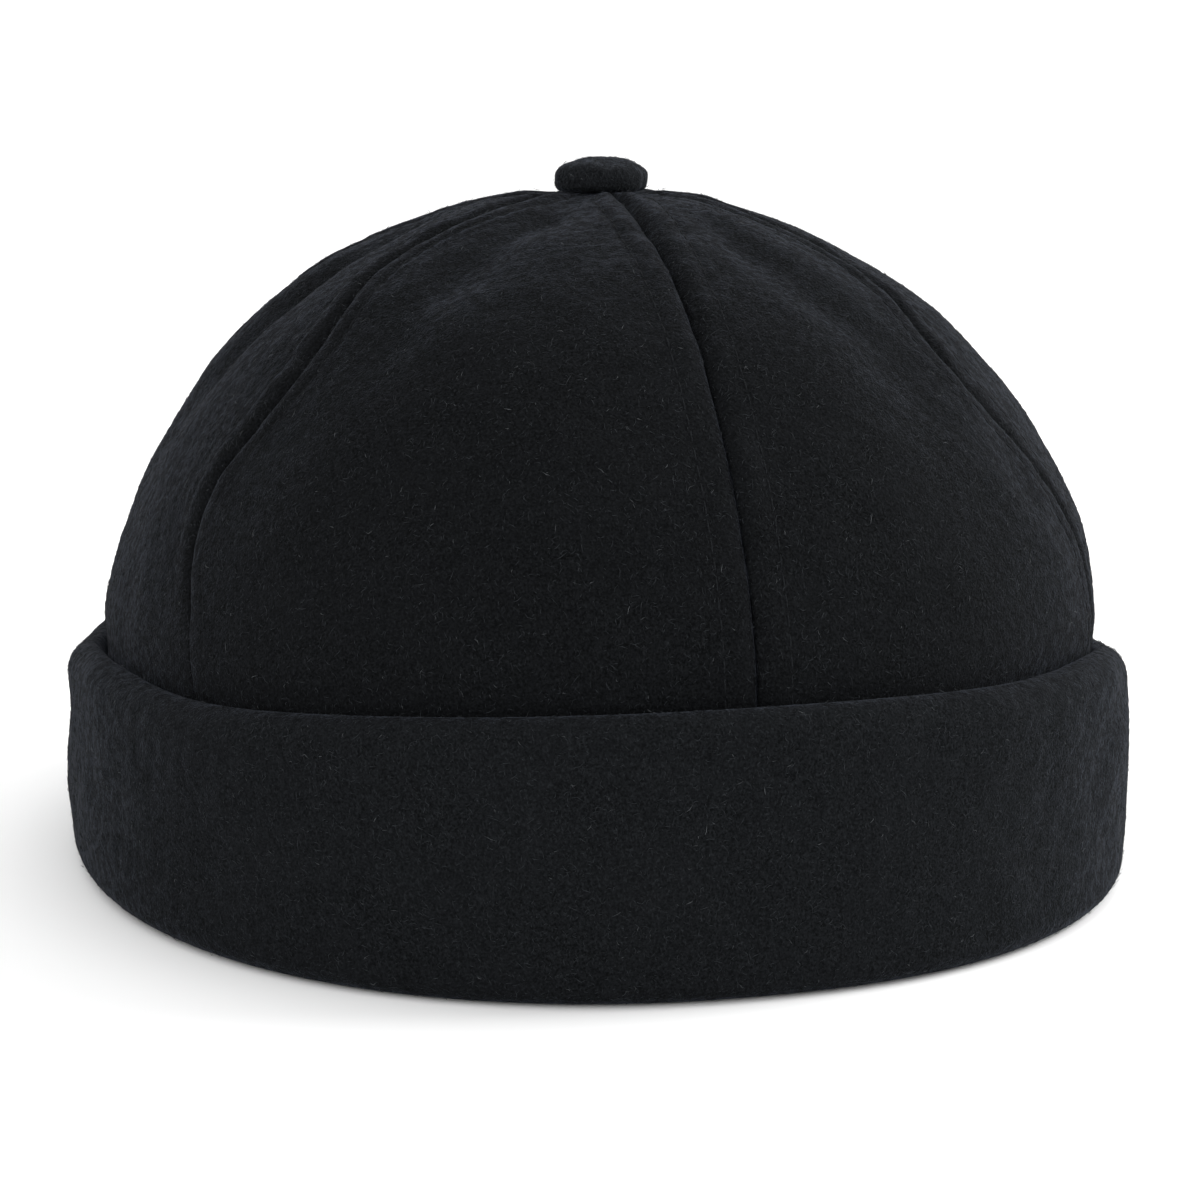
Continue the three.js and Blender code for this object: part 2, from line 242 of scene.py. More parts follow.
class CrownSizes(bpy.types.PropertyGroup):
    """Driving sizes of the sewn crown."""

    half_width: size_setting("Half width", "Reach of the crown to one side", CROWN_HALF_WIDTH)
    half_length: size_setting("Half length", "Reach of the crown to the front", CROWN_HALF_LENGTH)
    height: size_setting("Height", "Top of the crown above the floor", CROWN_HEIGHT)
    squareness: number_setting("Squareness", "Power of the plan outline, 2 for an ellipse", 2.18)
    cloth: size_setting("Cloth", "Thickness of the wool", 2 * MM)
    fullness: size_setting("Fullness", "How far a panel swells between its seams", 1.2 * MM)
    dent_depth: size_setting("Dent depth", "Depth of a full dent", 1.6 * MM)
    seam_gap: size_setting("Seam gap", "Clearance between two panels", 0.2 * MM)
    seam_roll: size_setting("Seam roll", "Radius of the cloth as it turns into a seam", 2.2 * MM)
    strip_width: size_setting("Strip width", "From a seam to its topstitching", 5.2 * MM)
    strip_rise: size_setting("Strip rise", "Rise of the cloth over the seam allowance", 0.4 * MM)
    allowance: size_setting("Allowance", "Thickness of the pressed allowance inside", 1.1 * MM)
    stitch_groove: size_setting("Stitch groove", "How deep the topstitching pulls in", 0.16 * MM)
    stitch_pitch: size_setting("Stitch pitch", "Length of one stitch with its hole", 3.1 * MM)
    thread: size_setting("Thread", "Thickness of the sewing thread", 0.25 * MM)
    unevenness: size_setting("Unevenness", "Height of the cloth's small swells", 0.16 * MM)


class CuffSizes(bpy.types.PropertyGroup):
    """Driving sizes of the turned-up cuff."""

    height: size_setting("Height", "Top of the cuff above the floor at the front", CUFF_HEIGHT)
    clearance: size_setting("Clearance", "Gap between the crown and the cuff", 1.3 * MM)
    slit: size_setting("Slit", "Gap between the cuff's two layers", 0.8 * MM)
    roll_width: size_setting("Roll width", "Width of the fold at the top", 6.5 * MM)
    roll_depth: size_setting("Roll depth", "How far down the outer side bends", 5.6 * MM)
    roll_crest: number_setting("Roll crest", "Place of the fold's top from its inner side, as a share", 0.2)
    fold_radius: size_setting("Fold radius", "Radius of the fold at the floor", 3.9 * MM)
    top_inset: size_setting("Top inset", "How far the roll stands back", 0.2 * MM)
    crease_depth: size_setting("Crease depth", "How far the crown draws in behind the cuff", 0.7 * MM)
    wave_depth: size_setting("Wave depth", "Depth of a full wave", 0.9 * MM)
    hem_height: size_setting("Hem height", "Top of the hem inside the crown", 14 * MM)
    hem_bend: size_setting("Hem bend", "Radius of the bend at the hem's foot", 1.4 * MM)
    join_depth: size_setting("Join depth", "Depth of the band's join at the back", 0.9 * MM)
    unevenness: size_setting("Unevenness", "Height of the cloth's small swells", 0.2 * MM)


class ButtonSizes(bpy.types.PropertyGroup):
    """Driving sizes of the covered button."""

    diameter: size_setting("Diameter", "Width of the button", BUTTON_DIAMETER)
    height: size_setting("Height", "Height of the button's dome", 6.2 * MM)
    stem: size_setting("Stem", "Width of the hole under the button", 6.4 * MM)
    gathers: count_setting("Gathers", "Small gathers round the rim", 15)
    gather_depth: size_setting("Gather depth", "Depth of a gather", 0.16 * MM)


class WoolLook(bpy.types.PropertyGroup):
    """Colours of the wool, its fibres and the thread."""

    crown: colour_setting("Crown wool", "Colour of the crown", (0.0041, 0.0045, 0.005))
    # Painted light: the cuff's wool is lighter than the crown's, standing for the light thrown up onto the
    # cuff from the floor.
    cuff: colour_setting("Cuff wool", "Colour of the cuff", (0.0054, 0.006, 0.0067))
    button: colour_setting("Button wool", "Colour of the button", (0.0076, 0.0084, 0.0094))
    thread: colour_setting("Thread", "Colour of the thread", (0.008, 0.0088, 0.01))
    dark_fibre: colour_setting("Dark fibre", "Many of the loose fibres", (0.0065, 0.0072, 0.0084))
    grey_fibre: colour_setting("Grey fibre", "Paler loose fibres", (0.027, 0.03, 0.034))
    pale_fibre: colour_setting("Pale fibre", "The few palest fibres", (0.085, 0.09, 0.096))
    fibre_thickness: size_setting("Fibre thickness", "Thickness of a loose fibre", 0.075 * MM)
    crown_fibres: count_setting("Crown fibres", "Loose fibres on each crown panel", 7200)
    cuff_fibres: count_setting("Cuff fibres", "Loose fibres on the cuff", 27000)
    button_fibres: count_setting("Button fibres", "Loose fibres on the button", 700)


class StudioSettings(bpy.types.PropertyGroup):
    """Camera, floor and light."""

    camera_turn: number_setting("Camera turn", "Degrees from the front to the camera", -15.0)
    camera_distance: size_setting("Camera distance", "From the upright through the origin", 0.491)
    camera_height: size_setting("Camera height", "Above the floor", 0.1299)
    camera_pitch: number_setting("Camera pitch", "Degrees that the camera looks down", 9.97)
    camera_aim: number_setting("Camera aim", "Degrees that the camera turns off the origin", -0.29)
    lens: number_setting("Lens", "Focal length in millimetres", 80.98)
    surround: number_setting("Surround", "Strength of the white surround", 1.3)
    floor_size: size_setting("Floor size", "Side of the pale floor", 60.0)
    floor_colour: colour_setting("Floor colour", "Colour of the floor", (0.92, 0.92, 0.92))
    key_power: number_setting("Key power", "Power of the soft main light", 23.0)
    fill_power: number_setting("Fill power", "Power of the soft light at the left", 1.0)


class BeanieSettings(bpy.types.PropertyGroup):
    """All sizes and colours of the cap and its studio."""

    crown: PointerProperty(type=CrownSizes)
    cuff: PointerProperty(type=CuffSizes)
    button: PointerProperty(type=ButtonSizes)
    look: PointerProperty(type=WoolLook)
    studio: PointerProperty(type=StudioSettings)


def smooth(start, end, value):
    """A soft step from 0 at start to 1 at end."""
    share = np.clip((value - start) / (end - start), 0, 1)
    return share * share * (3 - 2 * share)


def bump(offset, spread):
    """A soft bump that is 1 at its middle and fades out at about twice its spread."""
    return np.exp(-((offset / spread) ** 2))


def turn_between(first, second):
    """The rest of a turn between two directions, from -180 to 180 degrees."""
    return (first - second + 180) % 360 - 180


def round_angles(count):
    """Angles in radians that lie evenly round a full turn."""
    return 2 * math.pi * np.arange(count) / count


def side_and_front(direction):
    """Shares of a direction towards +X and towards the front."""
    return np.sin(np.radians(direction)), np.cos(np.radians(direction))


def unit(vectors):
    """The same vectors, each one unit long."""
    return vectors / np.maximum(np.linalg.norm(vectors, axis=-1, keepdims=True), 1e-12)


def travelled(path):
    """The length gone at each point of a line."""
    return np.concatenate([[0], np.cumsum(np.linalg.norm(np.diff(path, axis=0), axis=-1))])


def swells(points, wavelength, seed):
    """Soft random swells of about unit height over a cloud of points."""
    chance = np.random.default_rng(seed)
    total = np.zeros(points.shape[:-1])
    waves = 14
    for _ in range(waves):
        heading = unit(chance.normal(size=3))
        length = wavelength * chance.uniform(0.75, 1.5)
        total += np.cos(points @ heading * (2 * math.pi / length) + chance.uniform(0, 2 * math.pi))
    return total * math.sqrt(2 / waves)


def plan_reach(direction, crown):
    """How far the crown's plan outline reaches in a direction."""
    side, front = side_and_front(direction)
    across = np.abs(side / crown.half_width) ** crown.squareness
    along = np.abs(front / crown.half_length) ** crown.squareness
    return (across + along) ** (-1 / crown.squareness)


def plan_normal(direction, crown):
    """The level direction square to the crown's plan outline, pointing out."""
    side, front = side_and_front(direction)
    power = crown.squareness - 1
    x = np.sign(side) * np.abs(side) ** power / crown.half_width**crown.squareness
    y = -np.sign(front) * np.abs(front) ** power / crown.half_length**crown.squareness
    return unit(np.stack([x, y], -1))


def smooth_curves(points, steps):
    """A smooth curve through each row of points, its knots spaced by the root of their distance."""
    before = 2 * points[:, :1] - points[:, 1:2]
    after = 2 * points[:, -1:] - points[:, -2:-1]
    knots = np.concatenate([before, points, after], 1)
    gaps = np.sqrt(np.linalg.norm(np.diff(knots, axis=1), axis=-1, keepdims=True))
    place = np.linspace(0, 1, steps, endpoint=False)[:, None]
    runs = []
    for span in range(points.shape[1] - 1):
        p0, p1, p2, p3 = (knots[:, span + i] for i in range(4))
        g0, g1, g2 = (gaps[:, span + i] for i in range(3))
        leave = ((p1 - p0) / g0 - (p2 - p0) / (g0 + g1) + (p2 - p1) / g1) * g1
        arrive = ((p2 - p1) / g1 - (p3 - p1) / (g1 + g2) + (p3 - p2) / g2) * g1
        square = 3 * (p2 - p1) - 2 * leave - arrive
        cube = 2 * (p1 - p2) + leave + arrive
        run = cube[:, None] * place
        for term in (square, leave):
            run = (run + term[:, None]) * place
        runs.append(run + p1[:, None])
    runs.append(points[:, -1:])
    return np.concatenate(runs, 1)


class CrownForm:
    """The crown's smooth outer form, looked up by direction and by share of the rise of the cloth."""

    turn_step = 0.5
    rise_steps = 400
    curve_steps = 20

    def __init__(self, crown, button):
        self.crown = crown
        self.hole = button.stem / 2
        direction = np.arange(-180, 180 + self.turn_step, self.turn_step)
        outline = plan_reach(direction, crown)
        side, front = side_and_front(direction)
        knots = []
        for section in CROWN_SECTIONS:
            side_share = np.where(side > 0, section.right, section.left)
            front_share = np.where(front > 0, section.front, section.back)
            share = side_share * side**2 + front_share * front**2
            reach = np.maximum(outline * share, self.hole)
            knots.append(np.stack([reach, np.full_like(reach, crown.height * section.rise)], -1))
        even = np.linspace(0, 1, self.rise_steps + 1)
        self.cuts = np.empty((len(direction), len(even), 2))
        for row, path in enumerate(smooth_curves(np.stack(knots, 1), self.curve_steps)):
            gone = travelled(path)
            for axis in (0, 1):
                self.cuts[row, :, axis] = np.interp(even * gone[-1], gone, path[:, axis])

    def cut(self, direction, along):
        """Reach and height in a direction at a place along the rise."""
        column = ((direction + 180) % 360) / self.turn_step
        row = np.clip(along, 0, 1) * self.rise_steps
        left = np.minimum(column.astype(int), len(self.cuts) - 2)
        low = np.minimum(row.astype(int), self.rise_steps - 1)
        aside = (column - left)[..., None]
        up = (row - low)[..., None]
        near = self.cuts[left, low] * (1 - up) + self.cuts[left, low + 1] * up
        far = self.cuts[left + 1, low] * (1 - up) + self.cuts[left + 1, low + 1] * up
        return near * (1 - aside) + far * aside

    def points(self, direction, along):
        """Points of the smooth form; the seams' meeting point lies a little off the middle."""
        direction, along = np.broadcast_arrays(direction, along)
        reach, height = np.moveaxis(self.cut(direction, along), -1, 0)
        outwards = (reach - self.hole) / (plan_reach(direction, self.crown) - self.hole)
        pull = np.maximum(0, 1 - outwards) ** 3
        side, front = side_and_front(direction)
        x = BUTTON_PLACE[0] * pull + reach * side
        y = BUTTON_PLACE[1] * pull - reach * front
        return np.stack([x, y, height], -1)

    def normals(self, direction, along):
        """The outward direction of the smooth form."""
        turn = 0.5
        climb = 0.004
        aside = self.points(direction + turn, along) - self.points(direction - turn, along)
        rise = self.points(direction, np.minimum(along + climb, 1))
        rise = rise - self.points(direction, np.maximum(along - climb, 0))
        return unit(np.cross(aside, rise))


def seam_direction(seam, along):
    """Where a seam runs at a place along the rise."""
    direction = seam.direction + np.zeros_like(along)
    for bow in seam.bows:
        direction = direction + bow.turn * bump(along - bow.along, bow.length)
    return direction


def panel_swell(crown, direction, along, across):
    """How a panel swells between its seams and gives way in its dents."""
    held = smooth(0.15, 0.45, along) * (1 - smooth(0.78, 1, along))
    seam_level = 0.6
    swell = crown.fullness * held * (np.sin(math.pi * across) - seam_level)
    for dent in CROWN_DENTS:
        turned = bump(turn_between(direction, dent.direction), dent.across)
        swell = swell - crown.dent_depth * dent.depth * turned * bump(along - dent.along, dent.length)
    return swell


class PanelShape:
    """The two faces of one crown panel as grids: rows up the rise, columns from one seam to the next."""

    rows = 130
    row_crowding = 0.97
    middle_columns = 60
    # Columns beside a seam: angles of the roll into it, then distances in mm where the strip is 5.2 mm wide
    roll_angles = (0, 15, 30, 45, 60, 75, 90)
    strip_places = (2.7, 3.3, 3.8, 4.3, 4.7, 5.0, 5.2, 5.4, 5.7, 6.1, 6.6, 7.4)
    placed_width = 5.2
    # The largest share of a panel's width that the columns beside one seam take
    edge_share = 0.4
    # Where the strips rise from under the button, in widths of the button
    strips_rise = (0.35, 0.85)
    roll_flatness = 0.5
    groove_width = 0.9 * MM
    # Swells of the cloth: share of the unevenness, wavelength and random seed
    cloth_swells = ((1, 24 * MM, 7), (0.35, 9 * MM, 8), (0.2, 3.6 * MM, 9))

    def __init__(self, index, settings, form):
        self.crown = settings.crown
        self.cuff = settings.cuff
        self.button = settings.button
        self.form = form
        self.number = index
        self.first = CROWN_SEAMS[index]
        self.second = CROWN_SEAMS[index + 1]
        self.along = np.linspace(0, 1, self.rows)[:, None] ** self.row_crowding
        self.start, self.end, self.outwards, self.width = self.span(self.along)
        self.across, self.away = self.columns()
        self.direction = self.start + (self.end - self.start) * self.across
        self.outer, self.inner = self.faces()

    def span(self, along):
        """Both seams' directions, the reach midway between them and the panel's width at these places."""
        start = seam_direction(self.first, along)
        end = seam_direction(self.second, along)
        middle = self.form.cut((start + end) / 2, along)[..., 0]
        return start, end, middle, middle * np.radians(end - start)

    def edge_places(self):
        """Distances of the close columns from the seam's edge."""
        roll = self.crown.seam_roll
        turned = [roll * (1 - math.cos(math.radians(angle))) for angle in self.roll_angles]
        scale = self.crown.strip_width / self.placed_width
        return np.array(turned + [place * scale for place in self.strip_places])

    def fit(self, width):
        """How much the strips narrow with the panel."""
        return np.minimum(1, self.edge_share * width / self.edge_places()[-1])

    def columns(self):
        """Each column's share of the panel's width and its true distance from the nearer seam's edge."""
        fit = self.fit(self.width)
        edge = (self.crown.seam_gap / 2 + self.edge_places() * fit) / self.width
        first = edge[:, -1:]
        share = np.arange(1, self.middle_columns + 1) / (self.middle_columns + 1)
        middle = first + (1 - 2 * first) * share
        across = np.concatenate([edge, middle, 1 - edge[:, ::-1]], 1)
        near = np.minimum(across, 1 - across) * self.width - self.crown.seam_gap / 2
        return across, near / fit

    def seam_relief(self):
        """Height beside the seams: the roll into the seam, the raised strip and the stitched groove."""
        crown = self.crown
        width = crown.strip_width
        button_shares = [share * self.button.diameter for share in self.strips_rise]
        risen = smooth(*button_shares, self.outwards)
        inside = np.clip(1 - self.away / crown.seam_roll, 0, 1)
        drop = self.roll_flatness * crown.seam_roll * (1 - np.sqrt(np.maximum(1 - inside**2, 0)))
        strip = smooth(-0.3, 0.5, self.away / width) * (1 - smooth(0.45, 1.7, self.away / width))
        groove = bump(self.away - width, self.groove_width) * (0.7 + 0.6 * self.stitch_pull())
        relief = crown.strip_rise * strip - crown.stitch_groove * groove
        seam = np.where(self.across < 0.5, self.first.direction, self.second.direction)
        bold = self.boldness(seam)
        return (bold * relief * risen - drop * (0.35 + 0.65 * risen)) * self.opened(seam)

    def boldness(self, seam):
        """How bold the strips are: more so higher up, and from lower down at the sides."""
        start = 0.4 + 0.15 * np.cos(np.radians(seam)) ** 2
        return 0.8 + 1.5 * smooth(start, start + 0.3, self.along)

    def opened(self, seam):
        """How far a seam shows: the left one lies flat towards its foot, the others show in full."""
        flat = (seam == LEFT_SEAM.direction) * (1 - smooth(*LEFT_SEAM_OPENS, self.along))
        return 1 - 0.85 * flat

    def stitch_pull(self):
        """1 where the thread enters the cloth and 0 between, along the rise."""
        travel = self.along * self.cloth_length()
        return (0.5 + 0.5 * np.cos(2 * math.pi * travel / self.crown.stitch_pitch)) ** 3

    def cloth_length(self):
        """Length of the cloth from the rim to the button."""
        return travelled(self.form.points(self.start, self.along)[:, 0])[-1]

    def puckers(self, points):
        """Small pulls across the seams, strongest at the stitching."""
        near = bump(self.away - 0.75 * self.crown.strip_width, 0.8 * self.crown.strip_width)
        held = smooth(0.3, 0.5, self.along)
        return 0.13 * MM * near * held * swells(points, 8 * MM, 400 + self.number)

    def cuff_crease(self, height):
        """How far the crown draws in just behind the cuff's top edge."""
        over = height - cuff_top(self.cuff, self.direction)
        drawn = (1 - smooth(-1 * MM, 7 * MM, over)) * smooth(18 * MM, 27 * MM, height)
        return self.cuff.crease_depth * drawn

    def seam_steps(self):
        """Where one side of a seam sinks below the other."""
        total = np.zeros_like(self.away)
        for step in SEAM_STEPS:
            for seam, side in ((self.number, 1), (self.number + 1, -1)):
                if seam == step.seam and side == step.side:
                    nearer = self.across < 0.5 if side == 1 else self.across >= 0.5
                    depth = self.crown.dent_depth * step.depth * bump(self.along - step.along, step.length)
                    depth = depth * self.opened(CROWN_SEAMS[seam].direction)
                    total = total + nearer * depth * np.exp(-self.away / (0.55 * step.width))
        return total

    def faces(self):
        """The panel's outer and inner face."""
        crown = self.crown
        smooth_points = self.form.points(self.direction, self.along)
        normals = self.form.normals(self.direction, self.along)
        held = smooth(0.2, 0.4, self.along) * (1 - smooth(0.9, 1, self.along))
        body = panel_swell(crown, self.direction, self.along, self.across) - self.seam_steps()
        for share, wavelength, seed in self.cloth_swells:
            body = body + share * crown.unevenness * held * swells(smooth_points, wavelength, seed)
        body = body + self.puckers(smooth_points) - self.cuff_crease(smooth_points[..., 2])
        lift = body + self.seam_relief()
        depth = crown.cloth + self.allowance()
        outer = smooth_points + normals * lift[..., None]
        inner = smooth_points + normals * (body - depth)[..., None]
        return outer, inner

    def allowance(self):
        """Thickness of the seam allowance that is pressed to the inside."""
        width = 1.18 * self.crown.strip_width
        edge = 0.4 * MM
        pressed = 1 - smooth(width - edge, width + edge, self.away)
        pressed = pressed * smooth(0, 0.5 * MM, self.away)
        return self.crown.allowance * pressed * smooth(0.1, 0.16, self.along)


def panel_shapes(settings):
    """Each crown panel's name and shape, from the back round by the left."""
    form = CrownForm(settings.crown, settings.button)
    return [(name, PanelShape(index, settings, form)) for index, name in enumerate(PANEL_NAMES)]


def cell_corners(grid):
    """The four corners of each cell of a grid, in order round the cell."""
    return grid[:-1, :-1], grid[:-1, 1:], grid[1:, 1:], grid[1:, :-1]


class Draft:
    """Vertices and faces of one closed body, each face with its place on the bake map."""

    def __init__(self):
        self.points = np.zeros((0, 3))
        self.faces = []
        self.places = []

    def add_points(self, points):
        """Adds a grid of points and returns the grid of their numbers."""
        first = len(self.points)
        self.points = np.concatenate([self.points, points.reshape(-1, 3)])
        return first + np.arange(points[..., 0].size).reshape(points.shape[:-1])

    def add_sheet(self, numbers, low, high):
        """Joins a grid of point numbers with quads, laid on a rectangle of the bake map."""
        self.faces.append(np.stack([corner.ravel() for corner in cell_corners(numbers)], -1))
        rows, columns = numbers.shape
        right = np.linspace(low[0], high[0], columns)
        up = np.linspace(low[1], high[1], rows)
        grid = np.stack(np.meshgrid(right, up), -1)
        self.places.append(np.stack([corner.reshape(-1, 2) for corner in cell_corners(grid)], 1))

    def add_fan(self, ring, centre, low, high):
        """Closes a ring of point numbers with quads towards a centre point, two segments to a quad."""
        hub = self.add_points(np.asarray(centre, float).reshape(1, 3))[0]
        count = len(ring)
        middle = (np.array(low) + np.array(high)) / 2
        reach = (np.array(high) - np.array(low)) / 2
        angle = 2 * math.pi * np.arange(count + 1) / count
        rim = middle + reach * np.stack([np.cos(angle), np.sin(angle)], -1)
        faces = []
        places = []
        for first in range(0, count, 2):
            faces.append((ring[first], ring[first + 1], ring[(first + 2) % count], hub))
            places.append((rim[first], rim[first + 1], rim[first + 2], middle))
        self.faces.append(np.array(faces))
        self.places.append(np.array(places))

    def piece(self, name, material, replaced=None):
        """Makes the Blender object, sets it on the cap's body and hides the imported part, if any, that it
        stands for.
        """
        faces = np.concatenate(self.faces)
        mesh = bpy.data.meshes.new(name)
        mesh.from_pydata(self.points.tolist(), [], faces.tolist())
        mesh.polygons.foreach_set("use_smooth", np.ones(len(faces), bool))
        layer = mesh.uv_layers.new(name="OFBake")
        layer.data.foreach_set("uv", np.concatenate(self.places).astype(np.float32).ravel())
        mesh.update()
        return settle(mesh, name, [material], replaced)


def link(name, data):
    """A new object in the scene."""
    made = bpy.data.objects.new(name, data)
    bpy.context.scene.collection.objects.link(made)
    return made


def settle(mesh, name, materials, replaced=None):
    """Links a finished mesh as a piece that rides on the cap's body."""
    for material in materials:
        mesh.materials.append(material)
    made = link(name, mesh)
    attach(made, "root")
    if replaced:
        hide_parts(replaced)
    return made


class Wire:
    """The output of a shader node, ready for arithmetic: each operation adds a Math node."""

    def __init__(self, sheet, socket):
        self.sheet = sheet
        self.socket = socket

    def math(self, operation, *values):
        """A Math node of this kind on these values."""
        return self.sheet.add("ShaderNodeMath", {"operation": operation}, dict(enumerate(values)))

    def __add__(self, other):
        return self.math("ADD", self, other)

    def __radd__(self, other):
        return self.math("ADD", other, self)

    def __sub__(self, other):
        return self.math("SUBTRACT", self, other)

    def __rsub__(self, other):
        return self.math("SUBTRACT", other, self)

    def __mul__(self, other):
        return self.math("MULTIPLY", self, other)

    def __rmul__(self, other):
        return self.math("MULTIPLY", other, self)


class ShaderSheet:
    """A material's node tree, filled by one method."""

    def __init__(self, name):
        self.material = bpy.data.materials.new(name)
        self.material.use_nodes = True
        self.tree = self.material.node_tree
        self.tree.nodes.clear()

    def add(self, kind, settings=None, inputs=None, output=0):
        """Adds a node, sets it up, fills or links its sockets and returns one of its outputs."""
        node = self.tree.nodes.new(kind)
        for name, value in (settings or {}).items():
            setattr(node, name, value)
        for key, value in (inputs or {}).items():
            socket = node.inputs[key]
            if isinstance(value, Wire):
                self.tree.links.new(value.socket, socket)
            else:
                socket.default_value = value
        return Wire(self, node.outputs[output])

    def place(self):
        """The place on the object, in metres."""
        return self.add("ShaderNodeTexCoord", {}, {}, "Object")

    def step(self, value, start, end):
        """A soft step of a value from 0 at start to 1 at end."""
        settings = {"interpolation_type": "SMOOTHSTEP"}
        inputs = {"Value": value, "From Min": start, "From Max": end}
        return self.add("ShaderNodeMapRange", settings, inputs, "Result")

    def blend(self, share, first, second):
        """A colour between two others."""
        inputs = {"Factor": share, 6: first, 7: second}
        return self.add("ShaderNodeMix", {"data_type": "RGBA"}, inputs, 2)

    def noise(self, place, feature, detail=2.0, roughness=0.5):
        """Noise with features of about this size in metres."""
        inputs = {"Vector": place, "Scale": 1 / feature, "Detail": detail, "Roughness": roughness}
        return self.add("ShaderNodeTexNoise", {}, inputs, "Fac")

    def surface(self, inputs):
        """A surface shader with these values."""
        return self.add("ShaderNodeBsdfPrincipled", {}, inputs)

    def finish(self, surface):
        """Sends a shader to the surface and returns the material."""
        end = self.tree.nodes.new("ShaderNodeOutputMaterial")
        self.tree.links.new(surface.socket, end.inputs["Surface"])
        return self.material


def tinted(colour, factor=1.0):
    """A colour made lighter or darker, with its alpha."""
    return tuple(min(1.0, part * factor) for part in colour) + (1.0,)


def hair_strokes(sheet, place, lean):
    """Fine short strokes like single hairs pressed into the felt, 1 on a stroke."""
    turned = sheet.add("ShaderNodeMapping", {}, {"Vector": place, "Rotation": (lean, 0.6 * lean, 0.3)})
    stretch = (1.0, 1.0, 0.42)
    drawn = sheet.add("ShaderNodeVectorMath", {"operation": "MULTIPLY"}, {0: turned, 1: stretch})
    return sheet.step(sheet.noise(drawn, 0.3 * MM, 1.0), 0.56, 0.74)


def wool_surface(sheet, ground, relief, sheen):
    """Matt wool with this much sheen."""
    return sheet.surface(
        {
            "Base Color": ground,
            "Roughness": 0.95,
            "Specular IOR Level": 0.03,
            "Sheen Weight": sheen,
            "Sheen Roughness": 0.28,
            "Sheen Tint": (0.68, 0.77, 1.0, 1.0),
            "Normal": relief,
        }
    )


def melton_wool(name, colour):
    """Felted melton wool: a dark grainy nap, paler hairs in it, and a sheen on the raised hairs."""
    sheet = ShaderSheet(name)
    place = sheet.place()
    cloudy = sheet.noise(place, 13 * MM, 1.0)
    tufts = sheet.noise(place, 1.7 * MM, 1.5)
    nap = sheet.noise(place, 0.42 * MM, 2.0, 0.7)
    strokes = hair_strokes(sheet, place, 0.35)
    crossing = hair_strokes(sheet, place, -0.9)
    ground = sheet.blend(sheet.step(nap, 0.34, 0.66), tinted(colour, 0.4), tinted(colour, 1.65))
    shaded = sheet.blend(sheet.step(tufts, 0.3, 0.7), tinted(colour, 0.65), tinted(colour, 1.35))
    ground = sheet.blend(0.25, ground, shaded)
    ground = sheet.blend(0.25 * sheet.step(cloudy, 0.35, 0.65), ground, tinted(colour, 1.3))
    ground = sheet.blend(0.6 * strokes, ground, tinted(colour, 3.0))
    ground = sheet.blend(0.5 * crossing, ground, tinted(colour, 2.6))
    bumps = {"Height": 0.6 * nap + 0.6 * tufts, "Strength": 1.0, "Distance": 0.4 * MM}
    relief = sheet.add("ShaderNodeBump", {}, bumps, "Normal")
    raised = sheet.step(nap, 0.4, 0.62) * 0.45 + 0.5 * sheet.step(tufts, 0.4, 0.6) + 0.05 * strokes
    low = wool_surface(sheet, ground, relief, 0.008)
    high = wool_surface(sheet, ground, relief, 0.12)
    return sheet.finish(sheet.add("ShaderNodeMixShader", {}, {"Fac": raised, 1: low, 2: high}))


def plain_fibre(name, colour):
    """One loose wool fibre's finish."""
    sheet = ShaderSheet(name)
    look = {"Base Color": tinted(colour), "Roughness": 0.8, "Specular IOR Level": 0.08, "Sheen Weight": 0.03}
    return sheet.finish(sheet.surface(look))


def sewing_thread(name, colour):
    """Twisted sewing thread, its colour paler and darker at random; the darker patches are painted shade for
    the gaps between its plies.
    """
    sheet = ShaderSheet(name)
    plies = sheet.noise(sheet.place(), 0.25 * MM, 2.0)
    # Painted shade: the darker patches stand for the shade in the gaps between the plies.
    shade = sheet.blend(sheet.step(plies, 0.3, 0.7), tinted(colour, 0.6), tinted(colour, 1.6))
    look = {"Base Color": shade, "Roughness": 0.85, "Specular IOR Level": 0.04, "Sheen Weight": 0.01}
    return sheet.finish(sheet.surface(look))


def pale_floor_finish(name, colour):
    """Matt pale studio floor with a faint unevenness."""
    sheet = ShaderSheet(name)
    clouds = sheet.noise(sheet.place(), 0.15, 2.0)
    shade = sheet.blend(clouds, tinted(colour, 0.99), tinted(colour, 1.01))
    return sheet.finish(sheet.surface({"Base Color": shade, "Roughness": 0.9}))


def material_named(name, maker, colour):
    """The material of this name, made the first time that it is asked for."""
    return bpy.data.materials.get(name) or maker(name, colour)


def crown_melton(look):
    """The crown's wool."""
    return material_named("crown_melton", melton_wool, look.crown)


def cuff_melton(look):
    """The cuff's wool, painted lighter than the crown's for the light thrown up onto it from the floor."""
    return material_named("cuff_melton", melton_wool, look.cuff)


def button_melton(look):
    """The button's wool."""
    return material_named("button_melton", melton_wool, look.button)


def stitch_thread(look):
    """The topstitching's thread."""
    return material_named("thread", sewing_thread, look.thread)


def fibre_materials(look):
    """The three tones of loose fibre, dark first."""
    tones = (("dark", look.dark_fibre), ("grey", look.grey_fibre), ("pale", look.pale_fibre))
    return [material_named("fibre_" + tone, plain_fibre, colour) for tone, colour in tones]


